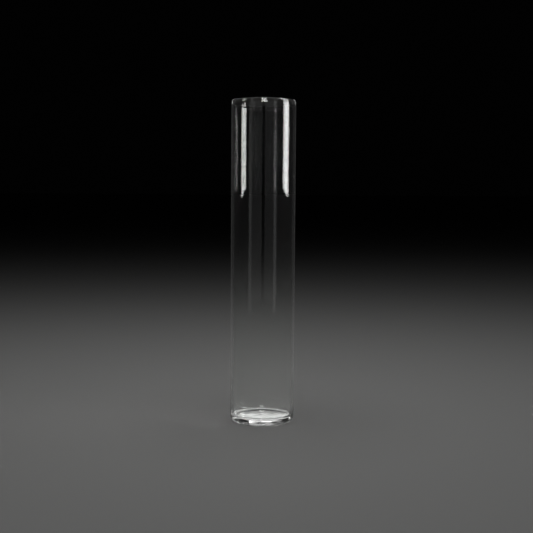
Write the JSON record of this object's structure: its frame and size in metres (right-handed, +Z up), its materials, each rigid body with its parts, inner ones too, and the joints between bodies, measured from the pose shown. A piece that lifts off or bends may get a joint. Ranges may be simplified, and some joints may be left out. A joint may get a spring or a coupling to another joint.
{
  "type": "flat-bottomed specimen tube",
  "caption": "Straight clear glass tube with a flat fused base and an open, fire-polished rim, for holding a specimen or a small amount of liquid upright.",
  "frame": {"origin": "centre of the base, on the surface that the tube stands on", "axes": "+Z up along the tube's axis towards the open mouth; the tube is round, so X and Y are free"},
  "size_m": [0.025, 0.025, 0.125],
  "materials": {
    "clear_glass": "clear, colourless, fire-polished"
  },
  "bodies": {
    "root": {"glass_tube": "clear_glass"}
  },
  "joints": []
}
